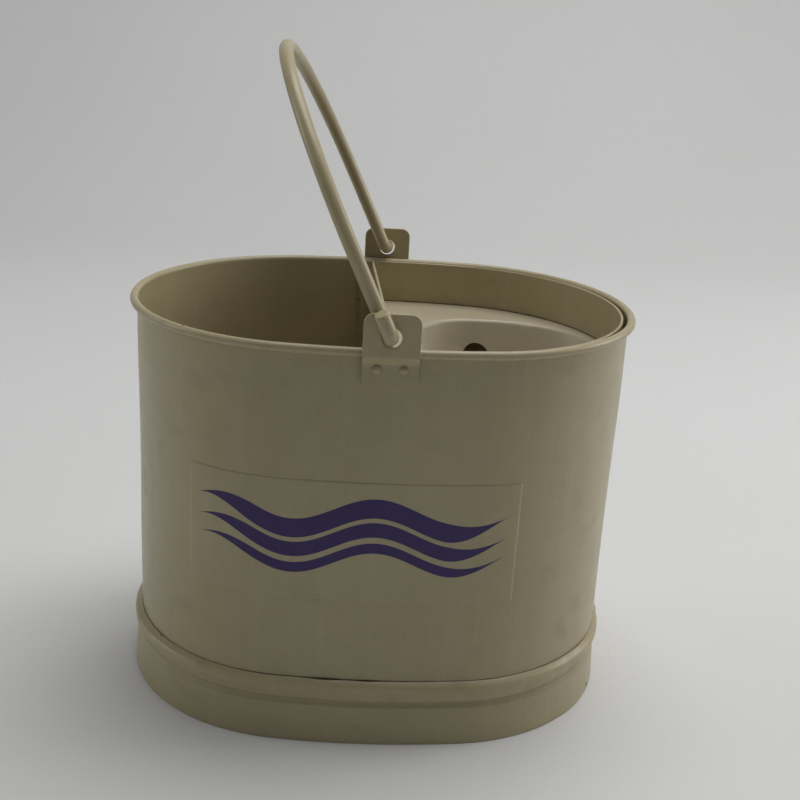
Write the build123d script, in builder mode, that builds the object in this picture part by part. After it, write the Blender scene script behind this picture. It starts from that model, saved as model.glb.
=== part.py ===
"""Wash bucket with a built-in wringer: an oval sheet-steel bucket on a foot hoop, a wire bail hung in
two riveted ears, and a wringer bowl in the right half.

Millimetres and degrees. +X runs along the bucket towards the wringer, +Z is up and z = 0 is the floor that the foot
hoop stands on. The origin is the middle of the foot.
"""

import os
from math import acos, atan2, cos, degrees, radians, sin, tan

from build123d import *

# The rim bead's centre line is an oval of four tangent arcs: two round ends and two flatter sides.
RIM_TOP = 270.8
RIM_HALF_LENGTH = 167.4
RIM_HALF_WIDTH = 123.2
RIM_END_RADIUS = 120.3
BEAD_RADIUS = 2.75
SHEET = 1.0
TAPER = 0.0078  # how far the wall leans in per millimetre of depth

# Foot: the wall's bottom hem holds the base pan's flange, and the hoop carries both.
HEM_BOTTOM = 13.0
HEM_HEIGHT = 9.0
BASE_TOP = 27.0
BASE_CORNER = 3.0
HOOP_TOP = 45.3
LAP_ANGLE = 6.0
SEAM_WIDTH = 7.0
SEAM_HEIGHT = 0.9

# Ears and their rivets.
FRONT_EAR_X = 1.5
REAR_EAR_X = 4.0
EAR_WIDTH = 34.2
EAR_TOP = RIM_TOP + 22.6
EAR_BOTTOM = RIM_TOP - 25.4
EAR_THICK = 2.0
EAR_CORNER = 6.5
EAR_HOLE_RADIUS = 5.9
EAR_HOLE_Z = RIM_TOP + 8.0
EAR_UPPER_Y = 127.6  # middle of the plate beside the bead
EAR_LOWER_Y = 122.55  # middle of the plate against the wall
RIVET_SPACING = 16.0
RIVET_Z = RIM_TOP - 12.9
RIVET_RADIUS = 2.0
RIVET_HEAD_RADIUS = 2.9
RIVET_HEAD_HEIGHT = 1.5
RIVET_HOLE_RADIUS = 2.05

# Bail: straight legs, a half-round arch and a hook at each end. It leans towards -X, and it hangs a
# little askew because the rear ear sits further along the bucket than the front one.
BAIL_ROD_RADIUS = 4.5
BAIL_BASE_X = 1.2
BAIL_BASE_Z = RIM_TOP + 7.4
BAIL_HALF_WIDTH = 120.7
BAIL_LEG = 48.8
BAIL_HOOK_BEND = 7.0
BAIL_FRONT_HOOK = 18.5
BAIL_REAR_HOOK = 13.5
BAIL_HOOK_TWIST = 10.0
BAIL_LEAN = 25.0
BAIL_SKEW = 0.8

# Wringer insert: a collar lining the wall, a divider across the bucket and a tray with a bowl.
WRINGER_SHEET = 0.9
COLLAR_TOP = RIM_TOP - 1.5
COLLAR_HALF_LENGTH = 162.0
COLLAR_HALF_WIDTH = 120.1
COLLAR_END_RADIUS = 117.2
COLLAR_START_X = -17.0
COLLAR_HEM = 5.0
LEDGE_Z = RIM_TOP - 32.5
SKIRT_DEPTH = 9.0
DIVIDER_X = -0.9
DIVIDER_SKEW = 2.6  # the divider stands a little off square
DIVIDER_BOTTOM = 160.0
DIVIDER_HALF_WIDTH = 117.75
DIVIDER_TOP_HALF_WIDTH = 117.0
DIVIDER_NOTCH_Z = 252.0
DIVIDER_HEM = 8.0
FLANGE = 9.0
BOWL_DEPTH = 85.0
BOWL_TAPER = 20.0
BOWL_CENTRE_X = 82.0
BOWL_RADIUS = 74.0
BOWL_CORNER = 42.0
BOWL_LEFT_X = 27.0
BOWL_EDGE_RADIUS = 3.5
BOWL_BOTTOM_RADIUS = 14.0
BOWL_HOLE_RADIUS = 10.0
BOWL_HOLE_ANGLE = 98.8
DRAIN_RADIUS = 5.0
DRAIN_RING = 18.0
DRAIN_CENTRE_X = 91.0

# Clear film on the front wall.
FILM_THICK = 0.15
FILM_GAP = 0.05
FILM_LEFT_X = -121.0
FILM_RIGHT_X = 89.0
FILM_BOTTOM = 103.0
FILM_TOP = 184.0

BEAD_Z = RIM_TOP - BEAD_RADIUS


def save(part, name):
    """Label a finished piece and write its STEP file."""
    part.label = name
    export_step(part, f"parts/{name}.step")


def oval_arcs(half_length, half_width, end_radius):
    """An end arc's centre, a side arc's radius and centre, and the angle in degrees where they meet."""
    end_centre = half_length - end_radius
    side = (end_centre**2 + half_width**2 - end_radius**2) / (2 * (half_width - end_radius))
    side_centre = side - half_width
    joint = degrees(atan2(side_centre, end_centre))
    return end_centre, side, side_centre, joint


def oval_line(half_length, half_width, end_radius):
    """A closed oval in the current BuildLine, starting at its +X end."""
    end_centre, side, side_centre, joint = oval_arcs(half_length, half_width, end_radius)
    CenterArc((end_centre, 0), end_radius, 0, joint)
    CenterArc((0, -side_centre), side, joint, 180 - 2 * joint)
    CenterArc((-end_centre, 0), end_radius, 180 - joint, 2 * joint)
    CenterArc((0, side_centre), side, 180 + joint, 180 - 2 * joint)
    CenterArc((end_centre, 0), end_radius, 360 - joint, joint)


def oval(half_length, half_width, end_radius, inset=0.0):
    """An oval face, moved inwards all round by the inset."""
    with BuildSketch() as face:
        with BuildLine():
            oval_line(half_length - inset, half_width - inset, end_radius - inset)
        make_face()
    return face.sketch


def rim_oval(inset=0.0):
    return oval(RIM_HALF_LENGTH, RIM_HALF_WIDTH, RIM_END_RADIUS, inset)


def wall_x(z):
    """The wall's outer face at the +X end, at height z."""
    return RIM_HALF_LENGTH - BEAD_RADIUS + SHEET - TAPER * (BEAD_Z - z)


with BuildLine() as rim_path:
    oval_line(RIM_HALF_LENGTH, RIM_HALF_WIDTH, RIM_END_RADIUS)

os.makedirs("parts", exist_ok=True)

# ---- bucket_wall: one section swept round the oval, from the bottom hem to the curled rim ----

HEM_GAP = 0.2
CURL_SWEEP = 295.0
SEAM_BOTTOM = 26.0
SEAM_TOP = 262.0

flange_x = wall_x(HEM_BOTTOM) - SHEET - HEM_GAP  # outer face of the base pan's flange
hem_x = flange_x - SHEET - HEM_GAP  # the hem's face against the flange

with BuildPart() as bucket_wall:
    with BuildSketch(Plane.XZ):
        with BuildLine():
            outer_curl = CenterArc((RIM_HALF_LENGTH, BEAD_Z), BEAD_RADIUS, 180, -CURL_SWEEP)
            inner_curl = CenterArc(
                (RIM_HALF_LENGTH, BEAD_Z), BEAD_RADIUS - SHEET, 180 - CURL_SWEEP, CURL_SWEEP
            )
            Line(outer_curl @ 1, inner_curl @ 0)
            Polyline(
                outer_curl @ 0,
                (wall_x(HEM_BOTTOM) - SHEET, HEM_BOTTOM + SHEET),
                (hem_x, HEM_BOTTOM + SHEET),
                (hem_x, HEM_BOTTOM + HEM_HEIGHT),
                (hem_x - SHEET, HEM_BOTTOM + HEM_HEIGHT),
                (hem_x - SHEET, HEM_BOTTOM),
                (wall_x(HEM_BOTTOM), HEM_BOTTOM),
                inner_curl @ 1,
            )
        make_face()
    sweep(path=rim_path.line)
    # The flattened lock seam stands inside the wall at the wringer end.
    with BuildSketch(Plane.XZ):
        Polygon(
            (wall_x(SEAM_BOTTOM) - SHEET / 2, SEAM_BOTTOM),
            (wall_x(SEAM_TOP) - SHEET / 2, SEAM_TOP),
            (wall_x(SEAM_TOP) - SHEET - SEAM_HEIGHT, SEAM_TOP),
            (wall_x(SEAM_BOTTOM) - SHEET - SEAM_HEIGHT, SEAM_BOTTOM),
            align=None,
        )
    extrude(amount=SEAM_WIDTH / 2, both=True)
    # Rivet holes: the sketch plane faces the front, so the rear pair is cut the other way.
    for ear_x, depth in ((FRONT_EAR_X, RIM_HALF_WIDTH), (REAR_EAR_X, -RIM_HALF_WIDTH)):
        with BuildSketch(Plane.XZ):
            with Locations((ear_x, RIVET_Z)):
                with GridLocations(RIVET_SPACING, 0, 2, 1):
                    Circle(RIVET_HOLE_RADIUS)
        extrude(amount=depth, mode=Mode.SUBTRACT)
save(bucket_wall.part, "bucket_wall")

# ---- rim_wire: the wire inside the curled rim ----

WIRE_RADIUS = 1.7

with BuildPart() as rim_wire:
    with BuildSketch(Plane.XZ):
        with Locations((RIM_HALF_LENGTH, BEAD_Z)):
            Circle(WIRE_RADIUS)
    sweep(path=rim_path.line)
save(rim_wire.part, "rim_wire")

# ---- base_pan: the raised bottom with its flange turned down into the wall's hem ----

with BuildPart() as base_pan:
    with BuildSketch(Plane.XY.offset(HEM_BOTTOM + SHEET + HEM_GAP)):
        add(rim_oval(RIM_HALF_LENGTH - flange_x))
    extrude(amount=BASE_TOP - HEM_BOTTOM - SHEET - HEM_GAP)
    fillet(base_pan.edges().group_by(Axis.Z)[-1], BASE_CORNER)
    offset(amount=-SHEET, openings=base_pan.faces().sort_by(Axis.Z)[0])
save(base_pan.part, "base_pan")

# ---- foot_hoop: a swaged band, from the floor to a bead that stands proud of the wall ----

hoop_x = wall_x(HOOP_TOP)
HOOP_PROFILE = ((3.8, -3.0), (2.2, 26.0), (0.65, 30.0), (4.1, 38.0), (4.1, 42.0), (0.6, 44.9))
HOOP_BEND = 3.5
LAP_RISE = 0.9

with BuildPart() as foot_hoop:
    with BuildSketch(Plane.XZ):
        with BuildLine():
            FilletPolyline(*[(hoop_x + out, z) for out, z in HOOP_PROFILE], radius=HOOP_BEND)
        trace(line_width=SHEET)
    sweep(path=rim_path.line)
    # The band's ends overlap at the wringer end.
    with BuildSketch(Plane.XZ):
        with BuildLine():
            raised = [(hoop_x + out + LAP_RISE, z) for out, z in HOOP_PROFILE]
            FilletPolyline(*raised, radius=HOOP_BEND)
        trace(line_width=SHEET)
    revolve(axis=Axis((RIM_HALF_LENGTH - RIM_END_RADIUS, 0, 0), (0, 0, 1)), revolution_arc=LAP_ANGLE)
    split(bisect_by=Plane.XY, keep=Keep.TOP)
save(foot_hoop.part, "foot_hoop")

# ---- front_ear and rear_ear: a cranked plate against the wall, standing clear of the bead ----

CRANK_TOP = RIM_TOP - 4.2
CRANK_BOTTOM = RIM_TOP - 9.2
CRANK_RADIUS = 1.8


def stamped_ear(ear_x):
    """The ear on the front wall, with its middle at ear_x."""
    with BuildPart() as ear:
        with BuildSketch(Plane.YZ.offset(ear_x)):
            with BuildLine():
                FilletPolyline(
                    (-EAR_UPPER_Y, EAR_TOP),
                    (-EAR_UPPER_Y, CRANK_TOP),
                    (-EAR_LOWER_Y, CRANK_BOTTOM),
                    (-EAR_LOWER_Y, EAR_BOTTOM),
                    radius=CRANK_RADIUS,
                )
            trace(line_width=EAR_THICK)
        extrude(amount=EAR_WIDTH / 2, both=True)
        with BuildSketch(Plane.XZ):
            with Locations((ear_x, (EAR_TOP + EAR_BOTTOM) / 2)):
                RectangleRounded(EAR_WIDTH, EAR_TOP - EAR_BOTTOM, EAR_CORNER)
        extrude(amount=EAR_UPPER_Y + EAR_THICK, mode=Mode.INTERSECT)
        with BuildSketch(Plane.XZ):
            with Locations((ear_x, EAR_HOLE_Z)):
                Circle(EAR_HOLE_RADIUS)
            with Locations((ear_x, RIVET_Z)):
                with GridLocations(RIVET_SPACING, 0, 2, 1):
                    Circle(RIVET_HOLE_RADIUS)
        extrude(amount=EAR_UPPER_Y + EAR_THICK, mode=Mode.SUBTRACT)
    return ear.part


front_plate = stamped_ear(FRONT_EAR_X)
rear_plate = stamped_ear(REAR_EAR_X)

with BuildPart() as front_ear:
    add(front_plate)
save(front_ear.part, "front_ear")

with BuildPart() as rear_ear:
    add(mirror(rear_plate, about=Plane.XZ, mode=Mode.PRIVATE))
save(rear_ear.part, "rear_ear")

# ---- front_ear_rivets and rear_ear_rivets: through ear and wall, with flat tails behind the collar ----

TAIL_RADIUS = 2.9
TAIL_HEIGHT = 0.7
HEAD_GAP = 0.05
TAIL_GAP = 0.42
SHOULDER = (0.62, 0.72)  # a point on the head's dome, as shares of its radius and height

head_y = EAR_LOWER_Y + EAR_THICK / 2 + HEAD_GAP
tail_y = RIM_HALF_WIDTH - BEAD_RADIUS - TAIL_GAP
shoulder_out = RIVET_HEAD_RADIUS * SHOULDER[0]
shoulder_y = head_y + RIVET_HEAD_HEIGHT * SHOULDER[1]


def rivet_pair(ear_x):
    """The two rivets of the ear on the front wall, with its middle at ear_x."""
    with BuildPart() as rivets:
        for x in (ear_x - RIVET_SPACING / 2, ear_x + RIVET_SPACING / 2):
            with BuildSketch(Plane.XY.offset(RIVET_Z)):
                with BuildLine():
                    Polyline(
                        (x + RIVET_HEAD_RADIUS, -head_y),
                        (x + RIVET_RADIUS, -head_y),
                        (x + RIVET_RADIUS, -tail_y),
                        (x + TAIL_RADIUS, -tail_y),
                        (x + TAIL_RADIUS, TAIL_HEIGHT - tail_y),
                        (x, TAIL_HEIGHT - tail_y),
                        (x, -head_y - RIVET_HEAD_HEIGHT),
                    )
                    ThreePointArc(
                        (x, -head_y - RIVET_HEAD_HEIGHT),
                        (x + shoulder_out, -shoulder_y),
                        (x + RIVET_HEAD_RADIUS, -head_y),
                    )
                make_face()
            revolve(axis=Axis((x, 0, RIVET_Z), (0, 1, 0)))
    return rivets.part


front_pair = rivet_pair(FRONT_EAR_X)
rear_pair = rivet_pair(REAR_EAR_X)

with BuildPart() as front_ear_rivets:
    add(front_pair)
save(front_ear_rivets.part, "front_ear_rivets")

with BuildPart() as rear_ear_rivets:
    add(mirror(rear_pair, about=Plane.XZ, mode=Mode.PRIVATE))
save(rear_ear_rivets.part, "rear_ear_rivets")

# ---- bail_handle: one rod, drawn in a leaning plane, with its two hooks twisted out of that plane ----

lean, bail_skew = radians(BAIL_LEAN), radians(BAIL_SKEW)
bail_plane = Plane(
    origin=(BAIL_BASE_X, 0, BAIL_BASE_Z),
    x_dir=(sin(bail_skew), cos(bail_skew), 0),
    z_dir=(cos(lean) * cos(bail_skew), -cos(lean) * sin(bail_skew), sin(lean)),
)


def hook_edges(side, length):
    """The hook on one side: half a turn down and outwards from the leg, then a short end pointing up."""
    twist = radians(BAIL_HOOK_TWIST)
    outwards = bail_plane.x_dir * (side * cos(twist)) + bail_plane.z_dir * sin(twist)
    foot = bail_plane.from_local_coords(Vector(side * BAIL_HALF_WIDTH, 0, 0))
    with BuildLine(Plane(origin=foot, x_dir=outwards, z_dir=outwards.cross(bail_plane.y_dir))) as hook:
        CenterArc((BAIL_HOOK_BEND, BAIL_HOOK_BEND), BAIL_HOOK_BEND, 180, 180)
        Line((2 * BAIL_HOOK_BEND, BAIL_HOOK_BEND), (2 * BAIL_HOOK_BEND, length))
    return hook.edges()


with BuildLine(bail_plane) as arch:
    Line((-BAIL_HALF_WIDTH, BAIL_HOOK_BEND), (-BAIL_HALF_WIDTH, BAIL_LEG))
    CenterArc((0, BAIL_LEG), BAIL_HALF_WIDTH, 180, -180)
    Line((BAIL_HALF_WIDTH, BAIL_LEG), (BAIL_HALF_WIDTH, BAIL_HOOK_BEND))

front_hook = hook_edges(-1, BAIL_FRONT_HOOK)
rear_hook = hook_edges(1, BAIL_REAR_HOOK)
bail_path = Wire([*front_hook, *arch.edges(), *rear_hook])

with BuildPart() as bail_handle:
    with BuildSketch(Plane(origin=bail_path @ 0, z_dir=bail_path % 0)):
        Circle(BAIL_ROD_RADIUS)
    sweep(path=bail_path)
save(bail_handle.part, "bail_handle")

# ---- wringer_collar: a band lining the wall from ear to ear, with its top edge folded outwards ----

HEM_ROUND = 0.8

with BuildPart() as wringer_collar:
    with BuildSketch(Plane.XY.offset(LEDGE_Z - SKIRT_DEPTH)):
        add(oval(COLLAR_HALF_LENGTH, COLLAR_HALF_WIDTH, COLLAR_END_RADIUS, WRINGER_SHEET))
        add(oval(COLLAR_HALF_LENGTH, COLLAR_HALF_WIDTH, COLLAR_END_RADIUS, 2 * WRINGER_SHEET),
            mode=Mode.SUBTRACT)
    extrude(amount=COLLAR_TOP - LEDGE_Z + SKIRT_DEPTH)
    with BuildSketch(Plane.XY.offset(COLLAR_TOP - COLLAR_HEM)):
        add(oval(COLLAR_HALF_LENGTH, COLLAR_HALF_WIDTH, COLLAR_END_RADIUS))
        add(oval(COLLAR_HALF_LENGTH, COLLAR_HALF_WIDTH, COLLAR_END_RADIUS, 2 * WRINGER_SHEET),
            mode=Mode.SUBTRACT)
    extrude(amount=COLLAR_HEM)
    fillet(wringer_collar.edges().group_by(Axis.Z)[-1], HEM_ROUND)
    split(bisect_by=Plane.YZ.offset(COLLAR_START_X), keep=Keep.TOP)
save(wringer_collar.part, "wringer_collar")

# ---- wringer_divider: the upright panel, with hemmed top and bottom edges and two side flanges ----

skew = radians(DIVIDER_SKEW)
divider_plane = Plane(
    origin=(DIVIDER_X, 0, 0),
    x_dir=(-sin(skew), cos(skew), 0),
    z_dir=(cos(skew), sin(skew), 0),
)

with BuildPart() as wringer_divider:
    with BuildSketch(divider_plane.offset(-WRINGER_SHEET / 2)):
        with Locations((0, (DIVIDER_BOTTOM + DIVIDER_NOTCH_Z) / 2)):
            Rectangle(2 * DIVIDER_HALF_WIDTH, DIVIDER_NOTCH_Z - DIVIDER_BOTTOM)
        with Locations((0, (DIVIDER_NOTCH_Z + COLLAR_TOP) / 2)):
            Rectangle(2 * DIVIDER_TOP_HALF_WIDTH, COLLAR_TOP - DIVIDER_NOTCH_Z)
    extrude(amount=WRINGER_SHEET)
    with BuildSketch(divider_plane.offset(-WRINGER_SHEET / 2)):
        for z in (DIVIDER_BOTTOM + DIVIDER_HEM / 2, COLLAR_TOP - DIVIDER_HEM / 2):
            with Locations((0, z)):
                Rectangle(2 * DIVIDER_TOP_HALF_WIDTH, DIVIDER_HEM)
    extrude(amount=-WRINGER_SHEET)
    fillet(
        wringer_divider.edges().group_by(Axis.Z)[-1].filter_by(
            lambda edge: edge.length > DIVIDER_TOP_HALF_WIDTH
        ),
        HEM_ROUND,
    )
    # The side flanges turn away from the tray and lie against the collar.
    for side in (-1, 1):
        edge_x = DIVIDER_X - side * DIVIDER_HALF_WIDTH * tan(skew)
        with BuildSketch(Plane.XY.offset(DIVIDER_BOTTOM + DIVIDER_HEM)):
            with Locations((edge_x - FLANGE / 2, side * (DIVIDER_HALF_WIDTH - WRINGER_SHEET / 2))):
                Rectangle(FLANGE, WRINGER_SHEET)
        extrude(amount=DIVIDER_NOTCH_Z - DIVIDER_BOTTOM - DIVIDER_HEM)
save(wringer_divider.part, "wringer_divider")

# ---- wringer_tray: a level ledge with a skirt, pressed down into a bowl with drain holes ----

TRAY_GAP = 0.45
LIP = 6.0
UPPER_HOLE_DROP = 26.4
LOWER_HOLE_DROP = 54.0
HOLES_ROUND = 6
TRAY_EDGE_RADIUS = 0.5

tray_inset = 2 * WRINGER_SHEET + TRAY_GAP  # from the collar's outer oval to the tray's edge
bowl_lean = radians(BOWL_TAPER)
bowl_grow = WRINGER_SHEET * (1 / cos(bowl_lean) - tan(bowl_lean))  # keeps the bowl's wall one sheet thick


def tray_outline(inset):
    """The D-shaped outline of the tray, moved inwards by the inset."""
    with BuildSketch() as face:
        add(oval(COLLAR_HALF_LENGTH, COLLAR_HALF_WIDTH, COLLAR_END_RADIUS, tray_inset + inset))
        edge_x = DIVIDER_X + WRINGER_SHEET / 2 + TRAY_GAP + inset
        with Locations(Location((edge_x, 0, 0), (0, 0, DIVIDER_SKEW))):
            Rectangle(
                2 * COLLAR_HALF_LENGTH,
                4 * COLLAR_HALF_WIDTH,
                align=(Align.MAX, Align.CENTER),
                mode=Mode.SUBTRACT,
            )
    return face.sketch


def bowl_mouth(grow):
    """The bowl's mouth: round towards +X, with rounded corners by the divider."""
    left, radius, corner = BOWL_LEFT_X - grow, BOWL_RADIUS + grow, BOWL_CORNER + grow
    corner_x = left + corner
    corner_y = radius - corner
    with BuildSketch() as face:
        with BuildLine():
            CenterArc((BOWL_CENTRE_X, 0), radius, -90, 180)
            Line((BOWL_CENTRE_X, radius), (corner_x, radius))
            CenterArc((corner_x, corner_y), corner, 90, 90)
            Line((left, corner_y), (left, -corner_y))
            CenterArc((corner_x, -corner_y), corner, 180, 90)
            Line((corner_x, -radius), (BOWL_CENTRE_X, -radius))
        make_face()
    return face.sketch


def tray_form(top, grow, inset, edge_radius, bottom_radius):
    """A solid plate with a solid bowl under it; two of these, one inside the other, leave the sheet."""
    with BuildPart() as form:
        with BuildSketch(Plane.XY.offset(top)):
            add(tray_outline(inset))
        extrude(amount=LIP)
        with BuildSketch(Plane.XY.offset(top)):
            add(bowl_mouth(grow))
        extrude(amount=-BOWL_DEPTH, taper=BOWL_TAPER)
        fillet(form.edges().group_by(Axis.Z)[0], bottom_radius)
        plate = form.faces().filter_by_position(Axis.Z, top - 0.01, top + 0.01)[0]
        fillet(plate.inner_wires()[0].edges(), edge_radius)
    return form.part


sheet_outside = tray_form(
    LEDGE_Z - WRINGER_SHEET,
    bowl_grow,
    0,
    BOWL_EDGE_RADIUS - WRINGER_SHEET,
    BOWL_BOTTOM_RADIUS + WRINGER_SHEET,
)
sheet_inside = tray_form(LEDGE_Z, 0, -LIP, BOWL_EDGE_RADIUS, BOWL_BOTTOM_RADIUS)

with BuildPart() as wringer_tray:
    add(sheet_outside)
    add(sheet_inside, mode=Mode.SUBTRACT)
    with BuildSketch(Plane.XY.offset(LEDGE_Z - SKIRT_DEPTH)):
        add(tray_outline(0))
        add(tray_outline(WRINGER_SHEET), mode=Mode.SUBTRACT)
    extrude(amount=SKIRT_DEPTH - WRINGER_SHEET / 2)
    for drop, turn in ((UPPER_HOLE_DROP, 0), (LOWER_HOLE_DROP, 180 / HOLES_ROUND)):
        for step in range(HOLES_ROUND):
            angle = radians(BOWL_HOLE_ANGLE + turn + step * 360 / HOLES_ROUND)
            facing = Plane(
                origin=(BOWL_CENTRE_X, 0, LEDGE_Z - drop),
                z_dir=(cos(angle), sin(angle), 0),
            )
            with BuildSketch(facing):
                Circle(BOWL_HOLE_RADIUS)
            extrude(amount=BOWL_RADIUS, mode=Mode.SUBTRACT)
    with BuildSketch(Plane.XY.offset(LEDGE_Z - BOWL_DEPTH)):
        with Locations((DRAIN_CENTRE_X, 0)):
            Circle(DRAIN_RADIUS)
            with PolarLocations(DRAIN_RING, 6):
                Circle(DRAIN_RADIUS)
    extrude(amount=BOWL_BOTTOM_RADIUS, both=True, mode=Mode.SUBTRACT)
    fillet(
        wringer_tray.edges().group_by(Axis.Z)[-1].filter_by(
            lambda edge: edge.bounding_box().max.X > BOWL_CENTRE_X + BOWL_RADIUS + BOWL_EDGE_RADIUS
            or edge.length > COLLAR_HALF_WIDTH
        ),
        TRAY_EDGE_RADIUS,
    )
save(wringer_tray.part, "wringer_tray")

# ---- label_film: a clear film bent round the front wall ----

end_centre, side_radius, side_centre, joint = oval_arcs(
    RIM_HALF_LENGTH, RIM_HALF_WIDTH, RIM_END_RADIUS
)
left_angle = 360 - degrees(acos((FILM_LEFT_X + end_centre) / RIM_END_RADIUS))
right_angle = 360 - degrees(acos((FILM_RIGHT_X - end_centre) / RIM_END_RADIUS))

with BuildPart() as label_film:
    with BuildLine() as film_path:
        CenterArc((-end_centre, 0), RIM_END_RADIUS, left_angle, 180 + joint - left_angle)
        CenterArc((0, side_centre), side_radius, 180 + joint, 180 - 2 * joint)
        CenterArc((end_centre, 0), RIM_END_RADIUS, 360 - joint, right_angle - 360 + joint)
    start = film_path.line @ 0
    outwards = start - Vector(-end_centre, 0, 0)
    with BuildSketch(Plane(origin=start, x_dir=outwards, z_dir=-(film_path.line % 0))):
        Polygon(
            (wall_x(FILM_BOTTOM) - RIM_HALF_LENGTH + FILM_GAP, FILM_BOTTOM),
            (wall_x(FILM_TOP) - RIM_HALF_LENGTH + FILM_GAP, FILM_TOP),
            (wall_x(FILM_TOP) - RIM_HALF_LENGTH + FILM_GAP + FILM_THICK, FILM_TOP),
            (wall_x(FILM_BOTTOM) - RIM_HALF_LENGTH + FILM_GAP + FILM_THICK, FILM_BOTTOM),
            align=None,
        )
    sweep(path=film_path.line)
save(label_film.part, "label_film")
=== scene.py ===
# %% [markdown]
# # A painted wash bucket with a wringer
#
# The engineering model arrives as a fixed frame: every sheet, rivet and rod already has its real size and
# place. This file gives it its looks. Pressed sheet steel is never as true as its drawing, so the pieces
# that catch the eye are made again as surfaces with the small unevenness of real sheet metal, and the
# whole bucket gets a worn coat of putty-coloured enamel.
#
# Lengths are metres, +X runs along the bucket to the wringer, +Y goes from the front ear to the rear ear
# and +Z is up.

from math import acos, atan2, cos, pi, radians, sin

import bmesh
import bpy
import numpy as np
from mathutils import Matrix, Vector


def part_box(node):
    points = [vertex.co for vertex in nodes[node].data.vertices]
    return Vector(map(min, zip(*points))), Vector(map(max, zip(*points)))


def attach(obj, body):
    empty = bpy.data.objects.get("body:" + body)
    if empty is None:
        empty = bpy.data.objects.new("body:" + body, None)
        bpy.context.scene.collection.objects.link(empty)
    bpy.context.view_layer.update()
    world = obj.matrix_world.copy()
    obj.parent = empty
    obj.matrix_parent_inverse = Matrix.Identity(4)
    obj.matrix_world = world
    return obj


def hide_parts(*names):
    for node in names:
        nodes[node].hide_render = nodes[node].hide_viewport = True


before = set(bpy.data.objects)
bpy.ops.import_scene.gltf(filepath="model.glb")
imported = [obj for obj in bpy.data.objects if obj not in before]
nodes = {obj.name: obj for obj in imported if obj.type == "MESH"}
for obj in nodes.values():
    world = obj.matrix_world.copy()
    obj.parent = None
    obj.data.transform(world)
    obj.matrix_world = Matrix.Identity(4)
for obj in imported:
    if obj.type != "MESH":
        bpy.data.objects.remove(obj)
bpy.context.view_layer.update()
MM = 0.001
print("nodes:", ", ".join(sorted(nodes)))

# %% [markdown]
# ## The oval
#
# Everything on this bucket follows one oval: two round ends and two flatter sides, joined without a
# corner. The four arcs are worked out from the rim's length and width, so a point on the wall is just
# "so far round the oval, so far out, so high up". That makes each sheet a function of two parameters.

# %% Sizes read from the frame
wall_low, wall_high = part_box("bucket_wall")
RIM_TOP = wall_high.z
BEAD_RADIUS = 2.75 * MM
SHEET = 1.0 * MM
TAPER = 0.0078
END_RADIUS = 120.3 * MM
RIM_LENGTH = 167.4 * MM
RIM_WIDTH = 123.2 * MM
BEAD_Z = RIM_TOP - BEAD_RADIUS
print(f"rim {2 * wall_high.x:.3f} m long, {2 * wall_high.y:.3f} m wide, {RIM_TOP:.3f} m high")

# %% [markdown]
# The oval is sampled by its own length, so the grid's cells stay even from the flat sides into the round
# ends. Each sample carries its outward normal, which is all that an offset needs.

# %% The oval and its normals
END_CENTRE = RIM_LENGTH - END_RADIUS
SIDE_RADIUS = (END_CENTRE**2 + RIM_WIDTH**2 - END_RADIUS**2) / (2 * (RIM_WIDTH - END_RADIUS))
SIDE_CENTRE = SIDE_RADIUS - RIM_WIDTH
JOINT = atan2(SIDE_CENTRE, END_CENTRE)
ARCS = [
    (END_CENTRE, 0.0, END_RADIUS, 0.0, JOINT),
    (0.0, -SIDE_CENTRE, SIDE_RADIUS, JOINT, pi - JOINT),
    (-END_CENTRE, 0.0, END_RADIUS, pi - JOINT, pi + JOINT),
    (0.0, SIDE_CENTRE, SIDE_RADIUS, pi + JOINT, 2 * pi - JOINT),
    (END_CENTRE, 0.0, END_RADIUS, 2 * pi - JOINT, 2 * pi),
]
ARC_ENDS = np.cumsum([radius * (b - a) for _, _, radius, a, b in ARCS])
OVAL_LENGTH = ARC_ENDS[-1]
print(f"the oval is {OVAL_LENGTH:.3f} m round")


def oval(along):
    """Points and outward normals at distances along the rim's centre line.

    On each arc the point is centre + radius * (cos a, sin a) and the normal is (cos a, sin a). Distance 0
    is the +X end, the line runs towards +Y, and a distance past the whole length goes round again.
    """
    along = np.asarray(along, float) % OVAL_LENGTH
    point, normal = np.zeros((len(along), 2)), np.zeros((len(along), 2))
    for (cx, cy, radius, a, b), last in zip(ARCS, ARC_ENDS):
        first = last - radius * (b - a)
        on = (along >= first) & (along <= last)
        angle = a + (along[on] - first) / radius
        normal[on] = np.stack([np.cos(angle), np.sin(angle)], 1)
        point[on] = (cx, cy) + radius * normal[on]
    return point, normal


# %% [markdown]
# ## Sheet metal as a profile carried along a path
#
# A sheet's section is a line through the middle of the metal. Its corners are rounded first, because a
# bend in steel is never sharp, then the line is moved half a thickness each way and capped at both ends.
# Carrying that closed section round the oval gives a closed surface with no loose edges.

# %% Sections
def units(vectors):
    """Each row divided by its own length."""
    return vectors / np.linalg.norm(vectors, axis=-1, keepdims=True)


def rounded(points, radius, steps=7):
    """The polyline with each inner corner replaced by a curve that is tangent to both runs.

    A circle of that radius touches the runs radius * tan(half the turn) from the corner. The curve
    between those two points is a quadratic one with the corner as its control point.
    """
    points = np.asarray(points, float)
    line = [points[0]]
    for before, here, after in zip(points, points[1:], points[2:]):
        back, ahead = before - here, after - here
        lengths = np.linalg.norm(back), np.linalg.norm(ahead)
        turn = pi - acos(np.clip(back @ ahead / (lengths[0] * lengths[1]), -1, 1))
        reach = min(radius * np.tan(turn / 2), 0.45 * lengths[0], 0.45 * lengths[1])
        a, b = here + back / lengths[0] * reach, here + ahead / lengths[1] * reach
        t = np.linspace(0, 1, steps)[:, None]
        line.extend((1 - t) ** 2 * a + 2 * t * (1 - t) * here + t**2 * b)
    return np.array([*line, points[-1]])


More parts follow.
